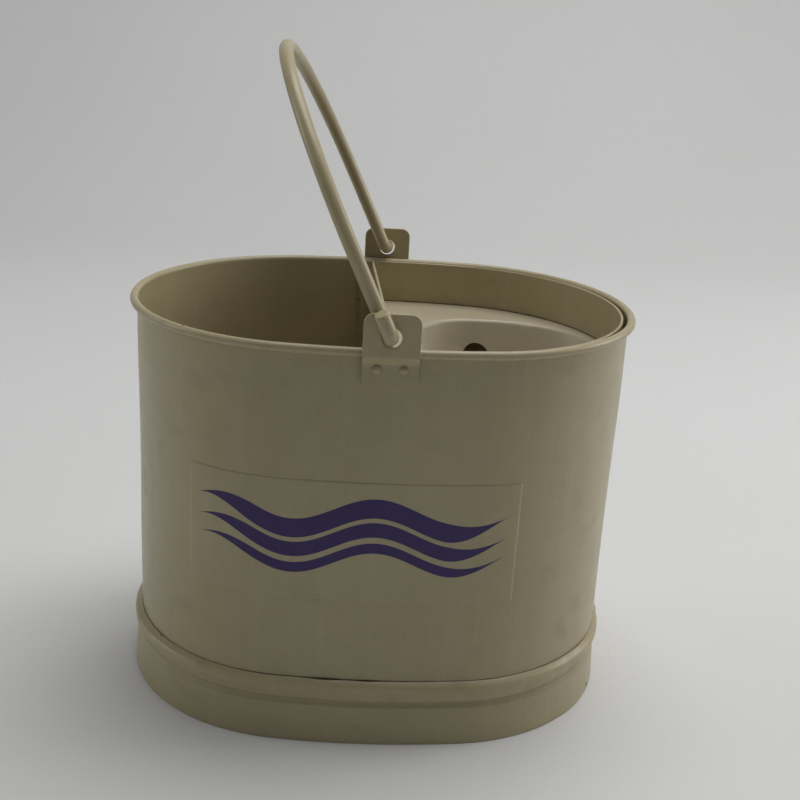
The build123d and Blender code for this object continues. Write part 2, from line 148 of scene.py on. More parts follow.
def filled_in(line, spacing):
    """The same line with extra points so that no run is longer than the spacing."""
    counts = np.maximum(1, np.ceil(np.linalg.norm(np.diff(line, axis=0), axis=1) / spacing)).astype(int)
    parts = [np.linspace(a, b, n, endpoint=False) for a, b, n in zip(line, line[1:], counts)]
    return np.vstack([*parts, line[-1:]])


def line_normals(line):
    """The unit normal at each point of an open line: the mean direction of its two runs, turned right."""
    runs = units(np.diff(line, axis=0))
    tangent = units(np.vstack([runs[:1], runs[:-1] + runs[1:], runs[-1:]]))
    return np.stack([tangent[:, 1], -tangent[:, 0]], 1), tangent


def sheet_section(line, thickness, cap_steps=5):
    """The closed outline of a sheet: the middle line moved half a thickness each way along its normal,
    with half circles round its two ends."""
    normal, tangent = line_normals(line)
    half = thickness / 2
    angle = np.linspace(0, pi, cap_steps + 2)[1:-1, None]
    tail = line[-1] + half * (np.cos(angle) * normal[-1] + np.sin(angle) * tangent[-1])
    nose = line[0] - half * (np.cos(angle) * normal[0] + np.sin(angle) * tangent[0])
    return np.vstack([line + half * normal, tail, (line - half * normal)[::-1], nose])


def along_oval(section, along):
    """The grid of places path + out * normal, at height z, for a section of (out, z) pairs.
    Also gives the outward normals, one row for each station."""
    point, normal = oval(along)
    places = np.zeros((len(along), len(section), 3))
    places[..., :2] = point[:, None, :] + section[None, :, :1] * normal[:, None, :]
    places[..., 2] = section[:, 1]
    return places, normal[:, None, :]


# %% [markdown]
# ## From a grid to a mesh
#
# A closed section on a closed path makes a ring with no ends. On an open path the two end sections need
# caps. The faces come out of index arithmetic in one go, and Blender then turns them all outwards.

# %% Grids and pieces
def grid_faces(rows, columns, wrap_rows=True, wrap_columns=True):
    """Quads between neighbours of a rows x columns grid, joined round where it wraps."""
    r = np.arange(rows if wrap_rows else rows - 1)
    c = np.arange(columns if wrap_columns else columns - 1)
    r, c = np.meshgrid(r, c, indexing="ij")
    r2, c2 = (r + 1) % rows, (c + 1) % columns
    corners = [r * columns + c, r * columns + c2, r2 * columns + c2, r2 * columns + c]
    return np.stack(corners, -1).reshape(-1, 4).tolist()


def section_cap(count, cap_steps, first):
    """Faces that close one end of a carried sheet section: quads from each point of one side to its
    partner on the other, and one polygon for each rounded end."""
    far = 2 * count + cap_steps - 1
    i = np.arange(count - 1)
    quads = np.stack([i, i + 1, far - i - 1, far - i], 1) + first
    tail = first + np.arange(count - 1, count + cap_steps + 1)
    nose = first + np.append(np.arange(far, far + cap_steps + 1), 0)
    return [*quads.tolist(), tail.tolist(), nose.tolist()]


def make_piece(name, points, faces, body, node, wear=None):
    """A smooth-shaded mesh from arrays that stands for a CAD node and moves with its body.

    wear, if given, says for each point how exposed its paint is, from 0 to 1.
    """
    points = np.asarray(points, float).reshape(-1, 3)
    mesh = bpy.data.meshes.new(name)
    mesh.from_pydata(points, [], faces)
    shell = bmesh.new()
    shell.from_mesh(mesh)
    bmesh.ops.recalc_face_normals(shell, faces=shell.faces)
    open_edges = sum(not edge.is_manifold for edge in shell.edges)
    volume = shell.calc_volume(signed=True)
    shell.to_mesh(mesh)
    shell.free()
    mesh.shade_smooth()
    if wear is not None:
        mesh.attributes.new("wear", "FLOAT", "POINT").data.foreach_set("value", np.ravel(wear))
    piece = bpy.data.objects.new(name, mesh)
    bpy.context.scene.collection.objects.link(piece)
    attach(piece, body)
    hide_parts(node)
    print(f"{name}: {len(points)} points, {open_edges} open edges, {volume * 1e6:.1f} cm3 of metal")
    return piece


# %% [markdown]
# ## How true is a pressed sheet?
#
# A few long waves, each a sine of the place with its own direction, add up to the slow unevenness that
# rolling, bending and knocks leave in sheet steel. They stay well under half a millimetre: enough to
# make a highlight wander, too little to change the size.

# %% Slow waves
def waves(places, size, wavelength, seed, count=7):
    """A sum of sines, each sin(direction . place + phase), scaled so that its usual size is the size."""
    random = np.random.default_rng(seed)
    directions = units(random.normal(size=(count, 3)))
    rates = 2 * pi / (wavelength * random.uniform(0.6, 1.6, count))
    phases = random.uniform(0, 2 * pi, count)
    return size * np.sin(places @ (directions * rates[:, None]).T + phases).sum(-1) / np.sqrt(count / 2)


def smooth_step(value, low, high):
    """0 below low, 1 above high and 3t^2 - 2t^3 between."""
    t = np.clip((value - low) / (high - low), 0, 1)
    return t * t * (3 - 2 * t)


def bump(value, centre, width):
    """A bell curve: 1 at the centre and exp(-1) one width away."""
    return np.exp(-(((value - centre) / width) ** 2))


# %% [markdown]
# ## The wall
#
# The wall is one long sheet rolled into the oval. Its top edge is curled outwards round a wire, which
# makes the bead that the hand feels, and its bottom edge is turned in to hold the base. The middle line
# of that sheet, drawn once, is the whole design. The two ends of the sheet are locked together at the
# wringer end, which leaves a flat ridge inside and a fine groove outside.

# %% bucket_wall
HEM_BOTTOM = wall_low.z
HEM_TOP = HEM_BOTTOM + 9 * MM
HEM_INSET = 2.4 * MM
CURL_SWEEP = radians(295)
CURL_END = pi - CURL_SWEEP
SEAM_LOW, SEAM_HIGH = 26 * MM, 262 * MM
SEAM_REACH = 9 * MM  # the stations lie closer together within this distance of the seam


def wall_out(z):
    """How far the middle of the wall's sheet lies outside the rim's centre line, at height z."""
    return -BEAD_RADIUS + SHEET / 2 - TAPER * (BEAD_Z - z)


def wall_waves(places, limp):
    """How far the rolled wall strays outwards: freely where it is limp, hardly at all by the stiff rim."""
    return waves(places, 0.22 * MM, 0.13, seed=11) * limp + waves(places, 0.05 * MM, 0.09, seed=12)


curl_angle = np.linspace(CURL_END, pi, 34)
curl = (BEAD_RADIUS - SHEET / 2) * np.stack([np.cos(curl_angle), np.sin(curl_angle)], 1) + (0, BEAD_Z)
turn_z = HEM_BOTTOM + SHEET / 2
hem_out = wall_out(turn_z) - HEM_INSET
fall = rounded(
    [
        (wall_out(BEAD_Z - MM), BEAD_Z - MM),
        (wall_out(turn_z), turn_z),
        (hem_out, turn_z),
        (hem_out, HEM_TOP),
    ],
    1.15 * MM,
)
wall_line = np.vstack([curl, filled_in(fall, 4.5 * MM)])
wall_section = sheet_section(wall_line, SHEET)
near_seam = np.linspace(-SEAM_REACH, SEAM_REACH, 46)
stations = np.arange(SEAM_REACH, OVAL_LENGTH - SEAM_REACH, 3.1 * MM)
stations = np.append(stations, near_seam % OVAL_LENGTH)
stations = np.unique(stations.round(7))
places, normal = along_oval(wall_section, stations)
beside = places[..., 1]
at_end = places[..., 0] > 0
inner = np.zeros(len(wall_section), bool)
inner[: len(wall_line)] = True
inner = inner if wall_section[len(wall_line) // 2, 0] < wall_out(0.15) else ~inner
between_seam_ends = (places[..., 2] > SEAM_LOW) & (places[..., 2] < SEAM_HIGH)
ridge = smooth_step(-np.abs(beside), -4.1 * MM, -3.2 * MM) * (at_end & inner & between_seam_ends)
groove = bump(beside, -3.4 * MM, 0.5 * MM) * (at_end & ~inner & between_seam_ends)
limp = smooth_step(BEAD_Z - places[..., 2], 0, 60 * MM)
shift = wall_waves(places, limp)
shift += -0.9 * MM * ridge - 0.22 * MM * groove - 0.1 * MM * (1 - limp)
places[..., :2] += shift[..., None] * normal
crest = bump(places[..., 2], RIM_TOP, 1.6 * MM) + bump(places[..., 2], HEM_BOTTOM, 1 * MM)
make_piece(
    "bucket_wall_rolled", places, grid_faces(*places.shape[:2]), "bucket", "bucket_wall", crest
)

# %% [markdown]
# ## The foot hoop
#
# A band is swaged to a bead near its top and flared towards the floor, wrapped round the bottom of the
# wall and lapped over its own start at the wringer end. Real bands never hug the wall all the way, so
# its top lip stands off by a millimetre in two short places at the front, and the band as a whole sits a
# little towards -X.

# %% foot_hoop
HOOP_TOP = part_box("foot_hoop")[1].z
HOOP_LINE = ((3.61, 0.5), (2.2, 26.0), (0.65, 30.0), (4.1, 38.0), (4.1, 42.0), (0.6, 44.75))
LAP = 12.6 * MM
LAP_RISE = 1.05 * MM
LAP_RAMP = 9 * MM
LAP_LEAD = 16 * MM  # the stations lie closer together from this far before the lap
hoop_out = wall_out(HOOP_TOP) + SHEET / 2
hoop_line = rounded(np.array(HOOP_LINE) * MM + (hoop_out, 0), 3.5 * MM)
hoop_line = filled_in(hoop_line, 1.9 * MM)
hoop_section = sheet_section(hoop_line, SHEET)
lap_stations = np.linspace(-LAP_LEAD, LAP, 34) + OVAL_LENGTH
stations = np.append(np.arange(0, OVAL_LENGTH - LAP_LEAD, 2.6 * MM), lap_stations)
places, normal = along_oval(hoop_section, stations)
over = smooth_step(stations, OVAL_LENGTH - LAP_RAMP, OVAL_LENGTH)[:, None]
lip = smooth_step(places[..., 2], 42 * MM, 44.5 * MM)
front_side = places[..., 1] < 0
stand_off = bump(places[..., 0], -31 * MM, 9 * MM) + 0.8 * bump(places[..., 0], -2 * MM, 6 * MM)
shift = waves(places, 0.12 * MM, 0.12, seed=21) + waves(places, 0.05 * MM, 0.04, seed=22)
shift += LAP_RISE * over + 1.1 * MM * stand_off * lip * front_side - 0.15 * MM
to_left = smooth_step(-places[..., 0], 60 * MM, 165 * MM) * (1 - lip)
to_right = smooth_step(places[..., 0], 60 * MM, 165 * MM)
shift += 0.9 * MM * to_left - 0.3 * MM * to_right
places[..., :2] += shift[..., None] * normal
faces = grid_faces(*places.shape[:2], wrap_rows=False)
last_row = (len(stations) - 1) * len(hoop_section)
for first in (0, last_row):
    faces += section_cap(len(hoop_line), 5, first)
edge = bump(places[..., 2], 0, 1.5 * MM) + bump(places[..., 2], HOOP_TOP, 0.8 * MM)
make_piece("foot_hoop_swaged", places, faces, "bucket", "foot_hoop", edge)

# %% [markdown]
# ## The ears
#
# An ear is a stamped plate: a rounded square, cranked outwards to clear the bead, with one punched hole
# for the handle and two rivets. A plate with one hole is a ring, so it is one grid with no ends at all:
# round the hole one way, and out over the face, round the edge, back behind and through the hole the other.

# %% front_ear and rear_ear
ear_low, ear_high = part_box("front_ear")
EAR_XS = {name: (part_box(name)[0].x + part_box(name)[1].x) / 2 for name in ("front_ear", "rear_ear")}
EAR_HALF = (ear_high.x - ear_low.x) / 2
EAR_MIDDLE = (ear_low.z + ear_high.z) / 2
EAR_TALL = (ear_high.z - ear_low.z) / 2
EAR_THICK = 2 * MM
EAR_CORNER = 6.5 * MM
EAR_HOLE = 5.9 * MM
EAR_HOLE_Z = RIM_TOP + 8.0 * MM
UPPER_Y, LOWER_Y = 127.6 * MM, 122.55 * MM
RIVET_Z = RIM_TOP - 12.9 * MM
RIVET_OUT = 8 * MM
crank_corners = [
    (UPPER_Y, EAR_MIDDLE + 0.1),
    (UPPER_Y, RIM_TOP - 4.2 * MM),
    (LOWER_Y, RIM_TOP - 9.2 * MM),
    (LOWER_Y, EAR_MIDDLE - 0.1),
]
crank = rounded(crank_corners, 1.9 * MM, steps=14)[::-1]


def outline_reach(angle):
    """How far the ear's outline is from the hole's centre, in each direction.

    The outline is where the distance to a rounded box is 0. It is found by halving the interval
    thirty times, for all the angles at once.
    """
    near, far = np.full(angle.shape, EAR_HOLE), np.full(angle.shape, 3 * EAR_HALF)
    for _ in range(30):
        middle = (near + far) / 2
        x = np.abs(middle * np.cos(angle)) - EAR_HALF + EAR_CORNER
        z = np.abs(middle * np.sin(angle) + EAR_HOLE_Z - EAR_MIDDLE) - EAR_TALL + EAR_CORNER
        outside = np.hypot(np.maximum(x, 0), np.maximum(z, 0)) + np.minimum(np.maximum(x, z), 0) > EAR_CORNER
        near, far = np.where(outside, near, middle), np.where(outside, middle, far)
    return near


def ear_grid(ear_x, side, seed):
    """Places of an ear's surface, by angle round the hole and by step over face, edge, back and hole.

    A place is the hole's centre + reach * (cos a, sin a) in the plate, lifted half a thickness off the
    cranked middle surface along that surface's own normal. The edges are quarter rounds, the punch has
    drawn up a faint ring round the hole, and each rivet has pulled the plate in round its head.
    """
    angle = np.linspace(0, 2 * pi, 181)[:-1]
    edge_radius = 0.55 * MM
    quarter = np.linspace(0, pi / 2, 5)
    share = np.linspace(0, 1, 60)
    flat = np.zeros(60)
    half = EAR_THICK / 2
    drop, inset = edge_radius * (1 - np.sin(quarter)), edge_radius * (1 - np.cos(quarter))
    # Each step: share of the way from hole to outline, extra reach, height off the middle surface.
    ring = np.vstack([
        np.stack([share, edge_radius * (1 - 2 * share), flat + half], 1),
        np.stack([1 + 0 * quarter, -inset[::-1], half - drop[::-1]], 1)[1:],
        np.stack([1 + 0 * quarter, -inset, drop - half], 1),
        np.stack([share, edge_radius * (1 - 2 * share), flat - half], 1)[::-1][1:],
        np.stack([0 * quarter, inset[::-1], drop[::-1] - half], 1)[1:],
        np.stack([0 * quarter, inset, half - drop], 1)[:-1],
    ])
    reach = outline_reach(angle)[:, None]
    out = EAR_HOLE + ring[:, 0] * (reach - EAR_HOLE) + ring[:, 1]
    x = ear_x + out * np.cos(angle)[:, None]
    z = EAR_HOLE_Z + out * np.sin(angle)[:, None]
    middle = np.interp(z, crank[:, 1], crank[:, 0])
    above, below = (np.interp(z + dz, crank[:, 1], crank[:, 0]) for dz in (0.1 * MM, -0.1 * MM))
    slope = (above - below) / (0.2 * MM)
    height = np.broadcast_to(ring[:, 2], x.shape).copy()
    face = height > 0
    height += 0.16 * MM * bump(out, EAR_HOLE + 1.7 * MM, 0.7 * MM) * face
    for rivet_x in (ear_x - RIVET_OUT, ear_x + RIVET_OUT):
        height -= 0.42 * MM * bump(np.hypot(x - rivet_x, z - RIVET_Z), 0, 3.9 * MM) * face
    normal_length = np.sqrt(1 + slope**2)
    y = middle + height / normal_length
    places = np.stack([x, side * y, z - height * slope / normal_length], -1)
    places[..., 1] += side * waves(places, 0.08 * MM, 0.03, seed) * face
    rim = bump(ring[:, 0] * (reach - EAR_HOLE) + ring[:, 1], 0, 1 * MM) + bump(reach - out, 0, 0.9 * MM)
    return places, rim


for name, side, seed in (("front_ear", -1, 31), ("rear_ear", 1, 32)):
    places, rim = ear_grid(EAR_XS[name], side, seed)
    make_piece(name + "_stamped", places, grid_faces(*places.shape[:2]), "bucket", name, rim)

# %% [markdown]
# ## The rivets
#
# A rivet is a shape of revolution: a low dome outside, a shank, and a flat tail hammered over between
# the wall and the wringer's collar. The hammer never strikes quite square, so each dome is dented a little.

# %% Rivets
HEAD_RADIUS, HEAD_HEIGHT = 2.9 * MM, 1.5 * MM
SHANK_RADIUS = 2.0 * MM
TAIL_RADIUS, TAIL_HEIGHT = 2.9 * MM, 0.7 * MM
HEAD_Y = LOWER_Y + EAR_THICK / 2 - 0.3 * MM
TAIL_Y = 120.03 * MM


def rivet_places(x, side, seed):
    """A lathe: radius and height along the axis, turned round it. The dome's height is
    (1 - (r / R)^2.4) times the full height, dented by small waves."""
    r = np.linspace(0.12, 1, 12)
    dome = np.stack([HEAD_RADIUS * r, HEAD_Y + 0.25 * MM + (HEAD_HEIGHT - 0.25 * MM) * (1 - r**2.4)], 1)
    rest = [
        (HEAD_RADIUS, HEAD_Y), (SHANK_RADIUS, HEAD_Y - 0.1 * MM), (SHANK_RADIUS, TAIL_Y),
        (TAIL_RADIUS * 0.97, TAIL_Y), (TAIL_RADIUS, TAIL_Y - 0.3 * MM),
        (TAIL_RADIUS * 0.86, TAIL_Y - TAIL_HEIGHT), (TAIL_RADIUS * 0.1, TAIL_Y - TAIL_HEIGHT),
    ]
    profile = np.vstack([dome, rest])
    angle = np.linspace(0, 2 * pi, 41)[:-1]
    places = np.zeros((len(profile), len(angle), 3))
    places[..., 0] = x + profile[:, :1] * np.cos(angle)
    places[..., 2] = RIVET_Z + profile[:, :1] * np.sin(angle)
    places[..., 1] = side * profile[:, 1:]
    dent = waves(places, 0.09 * MM, 0.004, seed) * (profile[:, 1:] > HEAD_Y)
    places[..., 1] += side * np.minimum(dent, 0.1 * MM)
    return places


for name, side, seed in (("front_ear", -1, 41), ("rear_ear", 1, 44)):
    points, faces, wear = [], [], []
    for step, out in enumerate((-RIVET_OUT, RIVET_OUT)):
        places = rivet_places(EAR_XS[name] + out, side, seed + step)
        rows, columns = places.shape[:2]
        count = rows * columns
        first = step * count
        faces += (np.array(grid_faces(rows, columns, wrap_rows=False)) + first).tolist()
        faces.append(list(range(first, first + columns)))
        faces.append(list(range(first + count - columns, first + count)))
        points.append(places.reshape(-1, 3))
        wear.append(np.repeat(np.linspace(1, 0, rows) ** 3, columns))
    rivets = name + "_rivets"
    make_piece(
        rivets + "_set", np.vstack(points), faces, "bucket", rivets, np.concatenate(wear)
    )

# %% [markdown]
# ## The bail
#
# The handle is one rod bent cold: a half-round arch, two straight legs, and a tight hook at each end
# that hangs in an ear. The arch lies in a plane that leans back and stands a little askew. Each hook is
# twisted ten degrees out of that plane, so the whole centre line is laid out in space.

# %% The bail's centre line
ROD = 4.5 * MM
BAIL_BASE = np.array([1.2, 0, 278.2]) * MM
BAIL_HALF, BAIL_LEG = 120.7 * MM, 48.8 * MM
HOOK_BEND, FRONT_HOOK, REAR_HOOK = 7 * MM, 18.5 * MM, 13.5 * MM
LEAN, ASKEW, TWIST = radians(25), radians(0.8), radians(10)
across = np.array([sin(ASKEW), cos(ASKEW), 0.0])
upwards = np.array([-sin(LEAN) * cos(ASKEW), sin(LEAN) * sin(ASKEW), cos(LEAN)])
sideways = np.cross(across, upwards)


def arc(centre, radius, start, sweep, spacing):
    """Points round an arc: centre + radius * (cos a, sin a), with a in even steps over the sweep."""
    steps = int(radians(abs(sweep)) * radius / spacing)
    angle = np.radians(np.linspace(start, start + sweep, max(8, steps)))
    return centre + radius * np.stack([np.cos(angle), np.sin(angle)], 1)


def hook(side, length):
    """One hook's centre line, from its cut end round to the foot of the leg. Its plane holds the leg and
    a direction turned by the twist from straight outwards."""
    outwards = side * cos(TWIST) * across + sin(TWIST) * sideways
    bend = arc((HOOK_BEND, HOOK_BEND), HOOK_BEND, 0, -180, 0.7 * MM)
    flat = np.vstack([[(2 * HOOK_BEND, length)], bend])
    return side * BAIL_HALF * across + flat[:, :1] * outwards + flat[:, 1:] * upwards


arch = arc((0, BAIL_LEG), BAIL_HALF, 180, -180, 2.4 * MM)
arch = arch[:, :1] * across + arch[:, 1:] * upwards
spine = filled_in(np.vstack([hook(-1, FRONT_HOOK), arch, hook(1, REAR_HOOK)[::-1]]), 2.6 * MM)
run = np.concatenate([[0], np.cumsum(np.linalg.norm(np.diff(spine, axis=0), axis=1))])
print(f"the rod is {run[-1]:.3f} m long")

# %% [markdown]
# Each ring of the tube needs two directions across the rod. The first is the normal of the plane that the
# rod is bent in, which turns by the twist on its way down the leg. The second is at right angles to it
# and to the rod. The sheared ends are a flat slanting face with a small burr.

# %% bail_handle
height = spine @ upwards
side = np.sign(spine @ across)[:, None]
twist = TWIST * (1 - smooth_step(height, HOOK_BEND, BAIL_LEG))[:, None]
off_plane = np.cos(twist) * sideways - side * np.sin(twist) * across
runs = units(np.diff(spine, axis=0))
tangent = units(np.vstack([runs[:1], runs[:-1] + runs[1:], runs[-1:]]))
in_plane = units(np.cross(off_plane, tangent))
free = smooth_step(height, 20 * MM, 60 * MM)
length_wise = np.stack([run, 0 * run, 0 * run], 1)
sway = waves(length_wise, 0.09 * MM, 0.09, seed=51), waves(length_wise, 0.12 * MM, 0.11, seed=52)
spine = spine - upwards * (free * (0.22 * MM + sway[0]))[:, None] + sideways * (free * sway[1])[:, None]
CUT_SLANT = radians(13)
CUT = ((0.06, 0.16), (0.5, 0.12), (0.84, 0.02), (0.95, 0.3), (1.0, 0.75))
cut_share, cut_depth = np.array(CUT).T
rings = len(spine)
first, last = np.zeros(len(CUT), int), np.full(len(CUT), rings - 1)
ring = np.concatenate([first, np.arange(1, rings - 1), last])
push = np.concatenate([cut_depth, np.zeros(rings - 2), -cut_depth[::-1]]) * MM
radii = ROD * np.concatenate([cut_share, np.ones(rings - 2), cut_share[::-1]])
turn = np.linspace(0, 2 * pi, 41)[:-1, None]
circle = np.cos(turn) * in_plane[ring][:, None] + np.sin(turn) * off_plane[ring][:, None]
offset = radii[:, None, None] * circle
from_end = np.minimum(run, run[-1] - run)
slant = np.tan(CUT_SLANT) * np.clip(1 - from_end / (REAR_HOOK - HOOK_BEND), 0, 1)
outer_side = (offset * (side * across)[ring][:, None]).sum(-1, keepdims=True) + ROD
places = BAIL_BASE + (spine[ring] + push[:, None] * tangent[ring])[:, None] + offset
places -= slant[ring][:, None, None] * outer_side * upwards
rows, columns = places.shape[:2]
faces = grid_faces(rows, columns, wrap_rows=False)
faces += [list(range(columns)), list(range((rows - 1) * columns, rows * columns))]
path_share = (run / run[-1])[ring]
rubbed = bump(path_share, 0, 0.02) + bump(path_share, 1, 0.02) + 0.5 * bump(path_share, 0.5, 0.07)
make_piece(
    "bail_handle_bent", places, faces, "bail", "bail_handle", np.repeat(rubbed, columns)
)

# %% [markdown]
# ## The film on the front
#
# A clear self-adhesive film is bent round the front wall. It is 0.15 mm thick, so only its edge and its
# gloss show. It follows the same oval, and it carries a flat map of its own, in metres, so that the print
# is drawn on the film and not projected through it.

# %% label_film
film_low, film_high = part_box("label_film")
FILM_LEFT, FILM_RIGHT = -121 * MM, 89 * MM
FILM_GAP = 0.06 * MM
FILM_THICK = 0.15 * MM


def distance_at(x):
    """How far along the oval its front side reaches this x, by interpolation on a fine sampling."""
    along = np.linspace(OVAL_LENGTH / 2, OVAL_LENGTH, 4001)
    return float(np.interp(x, oval(along)[0][:, 0], along))


film_along = np.linspace(distance_at(FILM_LEFT), distance_at(FILM_RIGHT), 141)
film_z = np.linspace(film_low.z, film_high.z, 40)
film_line = np.stack([wall_out(film_z) + SHEET / 2 + FILM_GAP + FILM_THICK / 2, film_z], 1)
film_line[[0, -1], 1] += (FILM_THICK / 2, -FILM_THICK / 2)
film_section = sheet_section(film_line, FILM_THICK, cap_steps=3)
places, normal = along_oval(film_section, film_along)
limp = smooth_step(BEAD_Z - places[..., 2], 0, 60 * MM)
places[..., :2] += wall_waves(places, limp)[..., None] * normal
faces = grid_faces(*places.shape[:2], wrap_rows=False)
for first in (0, (len(film_along) - 1) * len(film_section)):
    faces += section_cap(len(film_line), 3, first)
film = make_piece("label_film_bent", places, faces, "bucket", "label_film")
film_length = film_along[-1] - film_along[0]
map_u = np.repeat(film_along - film_along[0], len(film_section))
map_v = np.tile(film_section[:, 1] - film_low.z, len(film_along))
flat_map = np.stack([map_u, map_v], 1)
loop_points = np.zeros(len(film.data.loops), int)
film.data.loops.foreach_get("vertex_index", loop_points)
film.data.uv_layers.new(name="print").data.foreach_set("uv", flat_map[loop_points].ravel())
print(f"film {film_length:.3f} m long and {film_high.z - film_low.z:.3f} m tall")

# %% [markdown]
# ## A small language for shaders
#
# Node trees are easiest to read as formulas. A Value stands for one socket, and arithmetic on it adds
# Math nodes. Every other node comes from one method, which takes the node's type, its settings and what
# its sockets get.

# %% Shader helpers
class Value:
    """One output of a shader tree. Arithmetic on it adds Math nodes."""

    def __init__(self, paint, socket):
        self.paint, self.socket = paint, socket

    def out(self, name):
        """Another output of the same node."""
        return Value(self.paint, self.socket.node.outputs[name])

    def _math(self, operation, first, second):
        return self.paint.node("ShaderNodeMath", {"operation": operation}, {0: first, 1: second})

    def __add__(self, other):
        return self._math("ADD", self, other)

    def __sub__(self, other):
        return self._math("SUBTRACT", self, other)

    def __rsub__(self, other):
        return self._math("SUBTRACT", other, self)

    def __mul__(self, other):
        return self._math("MULTIPLY", self, other)

    def __truediv__(self, other):
        return self._math("DIVIDE", self, other)

    __radd__ = __add__
    __rmul__ = __mul__


class Paint:
    """A material and its tree."""

    def __init__(self, name):
        self.material = bpy.data.materials.new(name)
        self.material.use_nodes = True
        self.tree = self.material.node_tree
        self.tree.nodes.clear()
        self.place = self.node("ShaderNodeTexCoord").out("Object")

    def node(self, kind, settings=(), inputs=(), output=0):
        """Any node: its settings first, a ramp's stops among them, then values or links for its sockets."""
        made = self.tree.nodes.new(kind)
        for key, value in dict(settings).items():
            setattr(made, key, value)
        for key, value in dict(inputs).items():
            if isinstance(value, Value):
                self.tree.links.new(value.socket, made.inputs[key])
            else:
                made.inputs[key].default_value = value
        return Value(self, made.outputs[output]) if made.outputs else made

    def noise(self, size, detail=2, stretch=(1, 1, 1), offset=0.0):
        """Noise whose blotches are about this many metres across, or longer where stretch is over 1."""
        scale = [1 / (size * s) for s in stretch]
        inputs = {"Vector": self.place, "Location": (offset, offset, offset), "Scale": scale}
        place = self.node("ShaderNodeMapping", {}, inputs)
        return self.node("ShaderNodeTexNoise", {}, {"Vector": place, "Scale": 1.0, "Detail": detail})

    def step(self, value, low, high):
        """A soft threshold: 0 below low, 1 above high."""
        inputs = {"Value": value, "From Min": low, "From Max": high}
        return self.node("ShaderNodeMapRange", {"interpolation_type": "SMOOTHSTEP"}, inputs)

    def mix(self, share, a, b):
        """Colour a where share is 0, colour b where it is 1."""
        inputs = {0: share, 6: a, 7: b}
        return self.node("ShaderNodeMix", {"data_type": "RGBA"}, inputs, output=2)

    def math(self, operation, *inputs):
        """A Math node that has no operator of its own, such as MINIMUM or ABSOLUTE."""
        return self.node("ShaderNodeMath", {"operation": operation}, dict(enumerate(inputs)))

    def finish(self, inputs, bumps=()):
        """The Principled shader and the output. bumps are (height, distance) pairs, laid over each other."""
        normal = None
        for height, distance in bumps:
            settings = {"Height": height, "Distance": distance, "Strength": 1.0}
            if normal is not None:
                settings["Normal"] = normal
            normal = self.node("ShaderNodeBump", {}, settings)
        if normal is not None:
            inputs = {**inputs, "Normal": normal}
        shader = self.node("ShaderNodeBsdfPrincipled", {}, inputs)
        self.node("ShaderNodeOutputMaterial", {}, {"Surface": shader})
        return self.material


def linear(red, green, blue):
    """A colour given as 0-255 display values, as the linear numbers that shaders use."""
    share = np.array([red, green, blue]) / 255
    return (*np.where(share > 0.04045, ((share + 0.055) / 1.055) ** 2.4, share / 12.92), 1.0)


# %% [markdown]
# ## Putty enamel
#
# The whole bucket is dipped or sprayed in one semi-gloss enamel. Up close it is never one colour: the coat
# clouds over long distances, runs down the wall in faint streaks, has an orange-peel skin, gathers fine
# scuffs that dull it, and is chipped to dark steel where edges get knocked. The creases get painted shade.

# %% The enamel's colours
PUTTY = (177, 165, 129)
PUTTY_DARK = (167, 154, 118)
PUTTY_LIGHT = linear(188, 178, 145)
# The grime colour, which also colours the painted shade in the creases.
GRIME_AND_SHADE = linear(88, 78, 56)
STEEL = linear(52, 46, 38)


def crease_painted_shade(paint, creases):
    """1 in the painted shade along level creases, given as (height, half width) pairs.

    The painted shade is where the distance to the height, as a share of the half width, is under about 1.
    Noise moves that limit, so the line has a ragged edge and thins out in places.
    """
    height = paint.node("ShaderNodeSeparateXYZ", {}, {0: paint.place}).out("Z")
    ragged = 0.35 + paint.noise(0.006, detail=4, offset=12.5) * 1.3
    painted_shade = 0.0
    for middle, half in creases:
        off = paint.math("ABSOLUTE", height - middle) / half
        painted_shade = paint.math("MAXIMUM", painted_shade, paint.step(ragged - off, 0.0, 0.7))
    return painted_shade


def knocked_spots(paint, spots):
    """1 in the chips at given places: (x, y, z, radius), each with a ragged outline."""
    ragged = 0.4 + paint.noise(0.0025, detail=3, offset=15.2) * 1.2
    mask = 0.0
    for x, y, z, radius in spots:
        inputs = {0: paint.place, 1: (x, y, z)}
        distance = paint.node("ShaderNodeVectorMath", {"operation": "DISTANCE"}, inputs, output="Value")
        mask = paint.math("MAXIMUM", mask, paint.step(ragged - distance / radius, 0.0, 0.15))
    return mask


# %% [markdown]
# Every layer below is a mask between 0 and 1. The masks mix the colours, and the same masks set the
# roughness and the relief, so a chip is dark, dull and sunk all at once.

